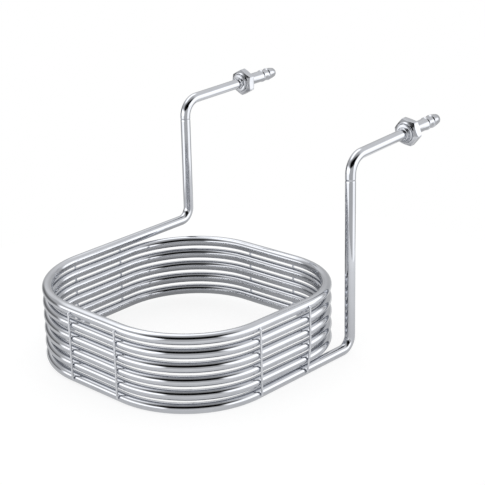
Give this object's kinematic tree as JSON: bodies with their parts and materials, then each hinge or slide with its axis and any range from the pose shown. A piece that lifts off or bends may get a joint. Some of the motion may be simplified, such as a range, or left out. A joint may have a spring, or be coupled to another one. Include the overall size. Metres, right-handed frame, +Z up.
{
  "type": "immersion wort chiller",
  "caption": "Coil of steel tube in rounded square turns, held apart by upright wires, with two risers whose arms reach back over a kettle's rim to barbed hose unions.",
  "frame": {"origin": "middle of the base of the part's box, on the surface that the coil stands on", "axes": "+Z up along the coil's axis, +Y the way both arms reach, +X to the side of riser 2"},
  "size_m": [0.2568, 0.3788, 0.2161],
  "materials": {
    "tube_steel": "bright drawn stainless tube",
    "wire_steel": "bright stainless wire with weld spots",
    "fitting_steel": "turned and polished stainless",
    "gasket_rubber": "translucent silicone, matt"
  },
  "bodies": {
    "root": {"coil_tube": "tube_steel", "spacer_wire_1": "wire_steel", "spacer_wire_2": "wire_steel", "spacer_wire_3": "wire_steel", "spacer_wire_4": "wire_steel", "spacer_wire_5": "wire_steel", "spacer_wire_6": "wire_steel", "spacer_wire_7": "wire_steel", "spacer_wire_8": "wire_steel", "threaded_collar_1": "fitting_steel", "threaded_collar_2": "fitting_steel"},
    "nipple_1": {"hose_nipple_1": "fitting_steel", "gasket_1": "gasket_rubber"},
    "nut_1": {"union_nut_1": "fitting_steel"},
    "nipple_2": {"hose_nipple_2": "fitting_steel", "gasket_2": "gasket_rubber"},
    "nut_2": {"union_nut_2": "fitting_steel"}
  },
  "joints": [
    {"name": "nut_1_turn", "type": "hinge", "parent": "nipple_1", "child": "nut_1", "pos_m": [-0.11676, 0.14114, 0.20209], "axis": [-0.0087, 0.9996, 0.0262], "range_deg": [0, 1080]},
    {"name": "nipple_1_travel", "type": "slide", "parent": "root", "child": "nipple_1", "axis": [-0.0087, 0.9996, 0.0262], "range_m": [0, 0.0045]},
    {"name": "nut_2_turn", "type": "hinge", "parent": "nipple_2", "child": "nut_2", "pos_m": [0.11432, 0.11856, 0.1942], "axis": [-0.0192, 0.9987, 0.048], "range_deg": [0, 1080]},
    {"name": "nipple_2_travel", "type": "slide", "parent": "root", "child": "nipple_2", "axis": [-0.0192, 0.9987, 0.048], "range_m": [0, 0.0045]}
  ],
  "couplings": [
    {"joint": "nut_1_turn", "follows": "nipple_1_travel", "rad_per_m": 4188.8},
    {"joint": "nut_2_turn", "follows": "nipple_2_travel", "rad_per_m": 4188.8}
  ]
}
